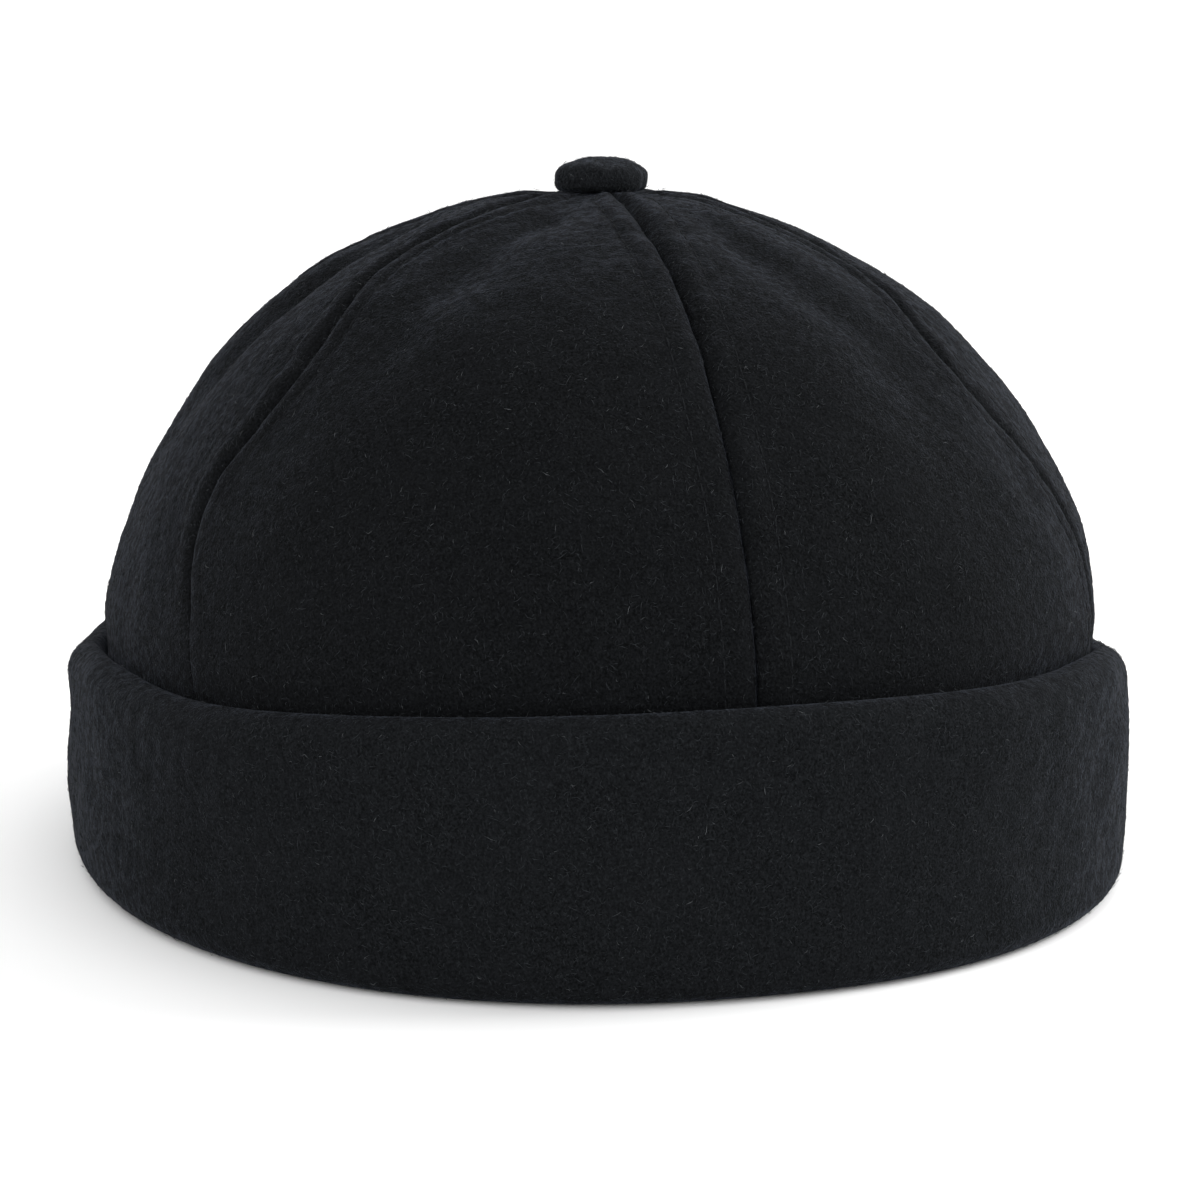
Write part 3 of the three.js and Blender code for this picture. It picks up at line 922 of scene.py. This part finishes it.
def build_panel(shape, name, look):
    """One crown panel as a closed body of cloth."""
    draft = Draft()
    outer = draft.add_points(shape.outer)
    inner = draft.add_points(shape.inner)
    draft.add_sheet(outer, (0.0, 0.0), (0.6, 0.95))
    draft.add_sheet(inner[:, ::-1], (0.62, 0.0), (0.94, 0.95))
    draft.add_sheet(np.stack([inner[:, 0], outer[:, 0]], 1), (0.955, 0.0), (0.965, 0.95))
    draft.add_sheet(np.stack([outer[:, -1], inner[:, -1]], 1), (0.98, 0.0), (0.99, 0.95))
    draft.add_sheet(np.stack([inner[0], outer[0]]), (0.0, 0.96), (0.6, 0.97))
    draft.add_sheet(np.stack([outer[-1], inner[-1]]), (0.0, 0.98), (0.6, 0.99))
    node = "crown_panel_" + name
    return draft.piece("wool_" + node, crown_melton(look), node)


def stitch_runs(shape, second_side):
    """Points and outward directions of one topstitch line's threads, as (stitch, step, xyz)."""
    crown = shape.crown
    along = np.linspace(0.1, 0.995, 700)[:, None]
    start, end, middle, width = shape.span(along)
    share = (crown.seam_gap / 2 + crown.strip_width * shape.fit(width)) / width
    across = 1 - share if second_side else share
    direction = start + (end - start) * across
    normals = shape.form.normals(direction, along)
    height = nearest_lift(shape, along, second_side)
    line = (shape.form.points(direction, along) + normals * height[..., None])[:, 0]
    normals = normals[:, 0]
    kept = middle[:, 0] > shape.button.diameter / 2
    travel = travelled(line)
    offset = along[0, 0] * shape.cloth_length()
    pitch = crown.stitch_pitch
    first = math.ceil(offset / pitch) * pitch - offset
    holes = np.arange(first, travel[kept][-1], pitch)
    steps = np.array([0.1, 0.25, 0.42, 0.58, 0.75, 0.9])
    spots = holes[:-1, None] + steps * pitch
    arch = (-0.45 + 0.55 * np.sin(math.pi * steps)) * crown.thread
    centres = np.stack([np.interp(spots, travel, line[:, axis]) for axis in range(3)], -1)
    outs = unit(np.stack([np.interp(spots, travel, normals[:, axis]) for axis in range(3)], -1))
    return centres + outs * arch[:, None], outs


def nearest_lift(shape, along, second_side):
    """Height of the panel's outer face over the smooth form where the topstitching runs."""
    column = int(np.argmin(np.abs(shape.edge_places() - shape.crown.strip_width)))
    column = shape.outer.shape[1] - 1 - column if second_side else column
    place = (shape.direction[:, column], shape.along[:, 0])
    rise = shape.outer[:, column] - shape.form.points(*place)
    lift = (rise * shape.form.normals(*place)).sum(-1)
    return np.interp(along, shape.along[:, 0], lift)


def build_stitches(name, runs, look, thickness):
    """The threads of one panel's seams as small closed tubes with rounded ends."""
    sides = 6
    swell = np.array([0.45, 0.9, 1.0, 1.0, 0.9, 0.45]) * thickness / 2
    draft = Draft()
    angle = round_angles(sides)[None, :, None]
    total = sum(len(centres) for centres, _ in runs)
    cell = 1 / math.ceil(math.sqrt(total))
    placed = 0
    for centres, outs in runs:
        heading = unit(np.gradient(centres, axis=1))
        side = unit(np.cross(outs, heading))
        for spots, out, across in zip(centres, outs, side):
            ring = np.cos(angle) * across[:, None] + np.sin(angle) * out[:, None]
            rings = draft.add_points(spots[:, None] + ring * swell[:, None, None])
            closed = np.concatenate([rings, rings[:, :1]], 1)
            low = np.array([placed * cell % 1, math.floor(placed * cell + 1e-9) * cell])
            placed += 1
            draft.add_sheet(closed, low + 0.05 * cell, low + (0.95 * cell, 0.7 * cell))
            for end, spot, left in ((rings[0][::-1], spots[0], 0.1), (rings[-1], spots[-1], 0.5)):
                right = left + 0.3
                draft.add_fan(end, spot, low + (left * cell, 0.75 * cell), low + (right * cell, 0.95 * cell))
    return draft.piece(name, stitch_thread(look))


def cuff_top(cuff, direction):
    """The cuff's top height: the table's straight runs, softened by averaging over a short turn."""
    directions = [row.direction for row in CUFF_TOPS]
    shares = [row.share for row in CUFF_TOPS]
    turns = np.arange(-9, 10, 3)
    found = [np.interp(turn_between(direction + turn, 0), directions, shares) for turn in turns]
    return cuff.height * np.mean(found, axis=0)


def cuff_wave(cuff, direction, share):
    """How far the cuff's outer layer gives way."""
    depth = np.zeros(np.broadcast(direction, share).shape)
    for wave in CUFF_WAVES:
        turned = bump(turn_between(direction, wave.direction), wave.across)
        depth = depth + cuff.wave_depth * wave.depth * turned * bump(share - wave.height, wave.length)
    return depth


def bend(out, up, out_radius, up_radius, start, steps):
    """Points on a quarter of an ellipse round a middle point, as (out, up) by step."""
    angle = np.radians(start + 90 * np.arange(steps + 1) / steps)
    return np.stack([out + out_radius * np.cos(angle), up + up_radius * np.sin(angle)], -1)


def straight(first, last, steps):
    """Points from one place to another, without the ends."""
    share = (np.arange(1, steps) / steps)[:, None]
    return np.asarray(first) * (1 - share) + np.asarray(last) * share


class CuffShape:
    """The folded band as one closed outline, swept round the crown's plan outline."""

    segments = 560
    # Steps of the middle line's runs, the number of its points before the foot, and of a raw edge's
    foot_steps = 7
    wall_steps = 26
    outer_roll_steps = 13
    inner_roll_steps = 6
    hem_points = 11
    edge_points = 3
    # Gap between the hem and the crown; the inner layer's middle line ends this far above the fold's bend
    small_gap = 0.3 * MM
    # Swells of the cloth: share of the unevenness, wavelength and random seed
    cloth_swells = ((1, 26 * MM, 21), (0.45, 10 * MM, 22), (0.26, 3.8 * MM, 23))

    def __init__(self, settings):
        self.cuff = settings.cuff
        self.crown = settings.crown
        self.direction = 360 * np.arange(self.segments) / self.segments
        side, front = side_and_front(self.direction)
        foot = plan_reach(self.direction, self.crown)[:, None] * np.stack([side, -front], -1)
        normal = plan_normal(self.direction, self.crown)
        tops = cuff_top(self.cuff, self.direction)
        outlines = np.stack([self.outline(turn, top) for turn, top in zip(self.direction, tops)])
        level = foot[:, None] + normal[:, None] * outlines[..., :1]
        self.points = np.concatenate([level, outlines[..., 1:]], -1)
        self.roughen(normal)
        self.points[..., 2] = np.maximum(self.points[..., 2], 0)

    def middle_line(self, direction, top):
        """The middle of the cloth from the hem inside the crown to the end of the hidden inner layer."""
        cuff = self.cuff
        cloth = self.crown.cloth
        half = cloth / 2
        hem_out = -cloth - self.small_gap - half
        hem_end = (hem_out, cuff.hem_height)
        outer_out = cuff.clearance + cloth + cuff.slit + half
        fold = cuff.fold_radius - half
        roll_out = outer_out - cuff.top_inset
        roll_in = roll_out - (cuff.roll_width - cloth)
        crest = roll_in + (roll_out - roll_in) * cuff.roll_crest
        outer_depth = cuff.roll_depth - half
        inner_depth = cuff.roll_width / 2 - half
        inner_out = cuff.clearance + half
        inner_high = (inner_out, top * 0.72)
        inner_low = (inner_out, cuff.fold_radius + self.small_gap)
        hem = bend(hem_out + cuff.hem_bend, half + cuff.hem_bend, cuff.hem_bend, cuff.hem_bend, 180, 4)
        foot = bend(outer_out - fold, half + fold, fold, fold, 270, self.foot_steps)
        outer_low = top - half - outer_depth
        inner_foot = top - half - inner_depth
        outer_roll = bend(crest, outer_low, roll_out - crest, outer_depth, 0, self.outer_roll_steps)
        inner_roll = bend(crest, inner_foot, crest - roll_in, inner_depth, 90, self.inner_roll_steps)[1:]
        wall = straight(foot[-1], outer_roll[0], self.wall_steps)
        share = (wall[:, 1] - foot[-1, 1]) / (outer_roll[0, 1] - foot[-1, 1])
        held = smooth(0, 0.35, share) * (1 - smooth(0.7, 1, share))
        belly = 0.15 * cloth * np.sin(math.pi * share**0.8)
        wall[:, 0] += belly - held * cuff_wave(cuff, direction, wall[:, 1] / top)
        parts = [
            [hem_end],
            straight(hem_end, hem[0], 4),
            hem,
            straight(hem[-1], foot[0], 3),
            foot,
            wall,
            outer_roll,
            inner_roll,
            straight(inner_roll[-1], inner_high, 2),
            [inner_high],
            straight(inner_high, inner_low, 6),
            [inner_low],
        ]
        return np.concatenate([np.asarray(part, float) for part in parts])

    def outline(self, direction, top):
        """Both faces of the cloth along its middle line, with rounded raw edges."""
        path = self.middle_line(direction, top)
        half = self.crown.cloth / 2
        heading = unit(np.gradient(path, axis=0))
        square = np.stack([heading[:, 1], -heading[:, 0]], -1)
        edge = np.radians([-45, 0, 45])[:, None]
        end = path[-1] + half * 0.7 * (np.cos(edge) * heading[-1] - np.sin(edge) * square[-1] * 1.2)
        start = path[0] + half * 0.7 * (np.sin(edge) * square[0] * 1.2 - np.cos(edge) * heading[0])
        return np.concatenate([path + half * square, end, (path - half * square)[::-1], start])

    def roughen(self, normal):
        """Lays soft swells on the cloth and draws it in at the join at the back."""
        cuff = self.cuff
        shifted = 0
        for share, wavelength, seed in self.cloth_swells:
            shifted = shifted + share * swells(self.points, wavelength, seed)
        height = self.points[..., 2]
        held = smooth(3 * MM, 12 * MM, height)
        turn = np.radians(turn_between(self.direction, 180)) * self.crown.half_length
        join = bump(turn, 0.7 * MM) - 0.35 * bump(np.abs(turn) - 2.6 * MM, 1.6 * MM)
        outside = self.outer_share()
        drawn = cuff.join_depth * join[:, None] * outside * smooth(0, MM, height)
        push = cuff.unevenness * held * shifted - drawn
        push = push * smooth(-0.5, 0.5, outside + 0.4)
        self.points[..., :2] += normal[:, None] * push[..., None]
        self.points[..., 2] += 0.25 * cuff.unevenness * shifted * smooth(20 * MM, 38 * MM, height)

    def outer_share(self):
        """1 on the cloth of the outer layer and its roll, 0 on the hem and the hidden layer."""
        path = self.points.shape[1] // 2 - self.edge_points
        first = self.hem_points + 4
        last = first + self.wall_steps + self.outer_roll_steps
        share = np.zeros(path)
        share[first:last] = 1
        edge = np.zeros(self.edge_points)
        return np.concatenate([share, edge, share[::-1], edge])

    def outer_face(self):
        """The grid of the cuff's visible outside, from the floor fold to the end of the roll."""
        first = self.hem_points + 3
        runs = self.foot_steps + self.wall_steps + self.outer_roll_steps + self.inner_roll_steps
        face = self.points[:, first : self.hem_points + runs + 2]
        return np.concatenate([face, face[:1]])


def build_cuff(shape, look):
    """The cuff as one closed body."""
    draft = Draft()
    numbers = draft.add_points(shape.points)
    numbers = np.concatenate([numbers, numbers[:1]])
    numbers = np.concatenate([numbers, numbers[:, :1]], 1)
    draft.add_sheet(numbers, (0.002, 0.002), (0.998, 0.998))
    return draft.piece("wool_cuff_band", cuff_melton(look), "cuff_band")


def grid_normals(points, centre):
    """Directions square to a grid of points that point away from a centre."""
    normals = unit(np.cross(np.gradient(points, axis=0), np.gradient(points, axis=1)))
    facing = ((points - centre) * normals).sum(-1, keepdims=True)
    return normals * np.where(facing < 0, -1, 1)


class ButtonShape:
    """The covered button: a low dome with soft lumps and small gathers at its rim."""

    sides = 112
    rings = 44
    # The two rings under the rim that lead to the hidden stem: share of its width and how far they sink
    under_rings = ((0.8, 0.1 * MM), (0.35, -0.4 * MM))

    def __init__(self, settings):
        button = settings.button
        profile = np.array([(point.reach, point.rise) for point in BUTTON_DOME])
        fine = smooth_curves(profile[None], 12)[0]
        travel = travelled(fine)
        even = np.linspace(0, travel[-1], self.rings)
        reach = np.interp(even, travel, fine[:, 0])
        rise = np.interp(even, travel, fine[:, 1])
        angle = round_angles(self.sides)
        out = np.stack([np.cos(angle), np.sin(angle)], -1)
        self.base = BUTTON_TOP - button.height
        level = reach[:, None, None] * (button.diameter / 2) * out[None]
        height = (self.base + rise * button.height)[:, None, None]
        points = np.concatenate([level, np.broadcast_to(height, level.shape[:2] + (1,))], -1)
        side = smooth(0.35, 0.9, reach)[:, None] * smooth(0, 0.1, 1.05 - rise)[:, None]
        ripple = np.sin(button.gathers * angle + 1.4 * np.sin(3 * angle))[None] * side
        lumps = swells(points, 8 * MM, 31) * 0.13 * MM + swells(points, 3.5 * MM, 32) * 0.06 * MM
        shoulder = smooth(0.2, 0.7, reach)[:, None]
        push = lumps * (0.4 + 0.6 * shoulder) - button.gather_depth * (0.5 + 0.5 * ripple) * side
        closed = np.concatenate([points, points[:, :1]], 1)
        normals = grid_normals(closed, np.array([0, 0, self.base]))[:, :-1]
        self.points = points + normals * push[..., None]
        self.points[..., 2] = np.minimum(self.points[..., 2], BUTTON_TOP)
        self.points[..., :2] += BUTTON_PLACE

    def underside(self):
        """The rings under the rim."""
        rings = []
        for share, drop in self.under_rings:
            ring = self.points[0].copy()
            ring[:, :2] = BUTTON_PLACE + (ring[:, :2] - BUTTON_PLACE) * share
            ring[:, 2] = self.base - drop
            rings.append(ring)
        return np.stack(rings)


def build_button(shape, look):
    """The button as one closed body."""
    draft = Draft()
    top = draft.add_points(shape.points)
    under = draft.add_points(shape.underside())
    rings = np.concatenate([under[::-1], top])
    closed = np.concatenate([rings, rings[:, :1]], 1)
    draft.add_sheet(closed, (0.0, 0.0), (0.9, 1.0))
    crest = shape.points[-1].mean(0)
    foot = shape.underside()[-1].mean(0)
    draft.add_fan(rings[-1], crest, (0.92, 0.6), (0.99, 0.67))
    draft.add_fan(rings[0][::-1], foot, (0.92, 0.3), (0.99, 0.37))
    return draft.piece("wool_crown_button", button_melton(look), "crown_button")


def scatter(points, normals, count, chance):
    """Random places on a grid surface, evenly by area, with their outward and upward directions."""
    across = points[:-1, 1:] - points[:-1, :-1]
    up = points[1:, :-1] - points[:-1, :-1]
    area = np.linalg.norm(np.cross(across, up), axis=-1).ravel()
    cells = chance.choice(area.size, count, p=area / area.sum())
    row, column = np.divmod(cells, points.shape[1] - 1)
    aside = chance.random((count, 1))
    rise = chance.random((count, 1))
    place = points[row, column] + across[row, column] * aside + up[row, column] * rise
    return place, unit(normals[row, column]), unit(up[row, column])


def fibre_solids(place, normal, up, look, chance):
    """Short bent wool fibres that lie on the cloth, each a closed three-sided spike."""
    each = (len(place), 1)
    side = unit(np.cross(up, normal))
    angle = chance.uniform(0, 2 * math.pi, each) + 0.35 * chance.normal(size=each)
    heading = np.cos(angle) * up * 1.25 + np.sin(angle) * side
    heading = unit(heading - (heading * normal).sum(-1, keepdims=True) * normal)
    aside = np.cross(normal, heading)
    length = MM * np.clip(chance.lognormal(0.0, 0.42, each), 0.35, 2.6)
    bow = chance.normal(0, 0.14, each) * length
    stray = chance.random(each) < 0.1
    lift = MM * (chance.uniform(0.02, 0.1, each) + stray * chance.uniform(0.03, 0.2, each))
    tip_lift = MM * (chance.uniform(-0.04, 0.12, each) + stray * chance.uniform(0.05, 0.35, each))
    root = place - normal * 0.06 * MM
    middle = place + heading * length * 0.45 + aside * bow + normal * lift
    tip = place + heading * length + normal * tip_lift
    radius = look.fibre_thickness / 2 * chance.uniform(0.6, 1.25, each)
    ring = []
    for turn in round_angles(3):
        ring.append(middle + radius * (math.cos(turn) * aside + math.sin(turn) * normal))
    return np.stack([root] + ring + [tip], 1)


# The faces of one fibre, by its root 0, its ring 1 to 3 and its tip 4
FIBRE_FACES = np.array([(0, 2, 1), (0, 3, 2), (0, 1, 3), (4, 1, 2), (4, 2, 3), (4, 3, 1)])
# The shares of all fibres that are dark, and dark or grey
FIBRE_TONES = (0.45, 0.983)
# A point inside the cap that its cloth faces away from
CAP_MIDDLE = np.array([0, 0, 20 * MM])


def build_fibres(name, points, centre, count, seed, look):
    """The loose fibres of one surface round a centre, as one joined piece in three tones."""
    chance = np.random.default_rng(seed)
    place, normal, up = scatter(points, grid_normals(points, centre), count, chance)
    solids = fibre_solids(place, normal, up, look, chance)
    solids[..., 2] = np.maximum(solids[..., 2], 0.02 * MM)
    tone = np.digitize(chance.random(count), FIBRE_TONES)
    faces = (np.arange(count)[:, None, None] * solids.shape[1] + FIBRE_FACES).reshape(-1, 3)
    mesh = bpy.data.meshes.new(name)
    mesh.from_pydata(solids.reshape(-1, 3).tolist(), [], faces.tolist())
    mesh.polygons.foreach_set("material_index", np.repeat(tone, len(FIBRE_FACES)).astype(np.int32))
    mesh.update()
    return settle(mesh, name, fibre_materials(look))


def panel_fibres(shape, name, look):
    """The loose fibres on a panel, above the part that the cuff hides."""
    hidden = int(0.2 * shape.rows)
    points = shape.outer[hidden:-4]
    seed = 100 + shape.number
    return build_fibres("fibres_" + name, points, CAP_MIDDLE, look.crown_fibres, seed, look)


def cuff_fibres(shape, look):
    """The loose fibres on the cuff's outside."""
    points = shape.outer_face()
    return build_fibres("fibres_cuff", points, CAP_MIDDLE, look.cuff_fibres, 120, look)


def button_fibres(shape, look):
    """The loose fibres on the button's dome."""
    points = np.concatenate([shape.points, shape.points[:, :1]], 1)
    centre = np.append(BUTTON_PLACE, shape.base)
    return build_fibres("fibres_button", points, centre, look.button_fibres, 130, look)


class BEANIE_OT_crown_panels(bpy.types.Operator):
    """Sew the six crown panels"""

    bl_idname = "beanie.crown_panels"
    bl_label = "Crown panels"

    def execute(self, context):
        settings = context.scene.beanie
        for name, shape in panel_shapes(settings):
            build_panel(shape, name, settings.look)
        return {"FINISHED"}


class BEANIE_OT_topstitching(bpy.types.Operator):
    """Run the topstitching along both sides of every seam"""

    bl_idname = "beanie.topstitching"
    bl_label = "Topstitching"

    def execute(self, context):
        settings = context.scene.beanie
        for name, shape in panel_shapes(settings):
            runs = [stitch_runs(shape, second_side) for second_side in (False, True)]
            build_stitches("stitches_" + name, runs, settings.look, settings.crown.thread)
        return {"FINISHED"}


class BEANIE_OT_cuff_band(bpy.types.Operator):
    """Fold the cuff up round the crown"""

    bl_idname = "beanie.cuff_band"
    bl_label = "Cuff band"

    def execute(self, context):
        settings = context.scene.beanie
        build_cuff(CuffShape(settings), settings.look)
        return {"FINISHED"}


class BEANIE_OT_crown_button(bpy.types.Operator):
    """Set the covered button on the crown"""

    bl_idname = "beanie.crown_button"
    bl_label = "Crown button"

    def execute(self, context):
        settings = context.scene.beanie
        build_button(ButtonShape(settings), settings.look)
        return {"FINISHED"}


class BEANIE_OT_loose_fibres(bpy.types.Operator):
    """Raise the wool's loose fibres on every outer surface"""

    bl_idname = "beanie.loose_fibres"
    bl_label = "Loose fibres"

    def execute(self, context):
        settings = context.scene.beanie
        for name, shape in panel_shapes(settings):
            panel_fibres(shape, name, settings.look)
        cuff_fibres(CuffShape(settings), settings.look)
        button_fibres(ButtonShape(settings), settings.look)
        return {"FINISHED"}


def build_floor(studio):
    """The pale floor that the cap rests on."""
    mesh = bpy.data.meshes.new("floor")
    half = studio.floor_size / 2
    corners = [(-half, -half, 0), (half, -half, 0), (half, half, 0), (-half, half, 0)]
    mesh.from_pydata(corners, [], [(0, 1, 2, 3)])
    mesh.materials.append(pale_floor_finish("pale_floor", studio.floor_colour))
    link("floor", mesh)


def aim(made, heading):
    """Turns a light or camera to look along a heading."""
    made.rotation_euler = heading.to_track_quat("-Z", "Y").to_euler()


def soft_light(name, place, power):
    """A square soft light that faces the cap."""
    light = bpy.data.lights.new(name, "AREA")
    light.size = 0.9
    light.energy = power
    lamp = link(name, light)
    lamp.location = place
    aim(lamp, Vector((0, 0, 50 * MM)) - Vector(place))


def build_camera(studio):
    """The camera at the photograph's viewing angle."""
    camera = bpy.data.cameras.new("camera")
    camera.sensor_width = 36
    camera.lens = studio.lens
    camera.clip_start = 0.01
    turn = math.radians(studio.camera_turn)
    heading = turn + math.radians(studio.camera_aim)
    pitch = math.radians(studio.camera_pitch)
    level = studio.camera_distance * Vector((math.sin(turn), -math.cos(turn)))
    eye = link("camera", camera)
    eye.location = (level.x, level.y, studio.camera_height)
    ahead = math.cos(pitch)
    aim(eye, Vector((-math.sin(heading) * ahead, math.cos(heading) * ahead, -math.sin(pitch))))
    bpy.context.scene.camera = eye


def build_surround(strength):
    """An even white surround that lights the cap from all round."""
    world = bpy.data.worlds.new("white_surround")
    bpy.context.scene.world = world
    world.use_nodes = True
    background = world.node_tree.nodes["Background"]
    background.inputs["Color"].default_value = (1, 1, 1, 1)
    background.inputs["Strength"].default_value = strength


class BEANIE_OT_stage(bpy.types.Operator):
    """Set the pale floor, the soft lights and the camera"""

    bl_idname = "beanie.stage"
    bl_label = "Stage"

    def execute(self, context):
        studio = context.scene.beanie.studio
        build_floor(studio)
        build_surround(studio.surround)
        soft_light("key_light", (1.35, 0.0, 0.75), studio.key_power)
        soft_light("fill_light", (-1.1, -0.7, 0.8), studio.fill_power)
        build_camera(studio)
        context.scene.view_settings.view_transform = "Standard"
        return {"FINISHED"}


class BEANIE_PT_steps(bpy.types.Panel):
    """The cap's building steps"""

    bl_label = "Fisherman beanie"
    bl_idname = "BEANIE_PT_steps"
    bl_space_type = "VIEW_3D"
    bl_region_type = "UI"
    bl_category = "Beanie"

    def draw(self, context):
        for step in STEPS:
            self.layout.operator(step.bl_idname)


STEPS = (
    BEANIE_OT_crown_panels,
    BEANIE_OT_topstitching,
    BEANIE_OT_cuff_band,
    BEANIE_OT_crown_button,
    BEANIE_OT_loose_fibres,
    BEANIE_OT_stage,
)
GROUPS = (CrownSizes, CuffSizes, ButtonSizes, WoolLook, StudioSettings, BeanieSettings)
CLASSES = GROUPS + STEPS + (BEANIE_PT_steps,)


def register():
    for each in CLASSES:
        bpy.utils.register_class(each)
    bpy.types.Scene.beanie = PointerProperty(type=BeanieSettings)


def unregister():
    del bpy.types.Scene.beanie
    for each in reversed(CLASSES):
        bpy.utils.unregister_class(each)


def main():
    register()
    bpy.ops.beanie.crown_panels()
    bpy.ops.beanie.topstitching()
    bpy.ops.beanie.cuff_band()
    bpy.ops.beanie.crown_button()
    bpy.ops.beanie.loose_fibres()
    bpy.ops.beanie.stage()


if __name__ == "__main__":
    main()
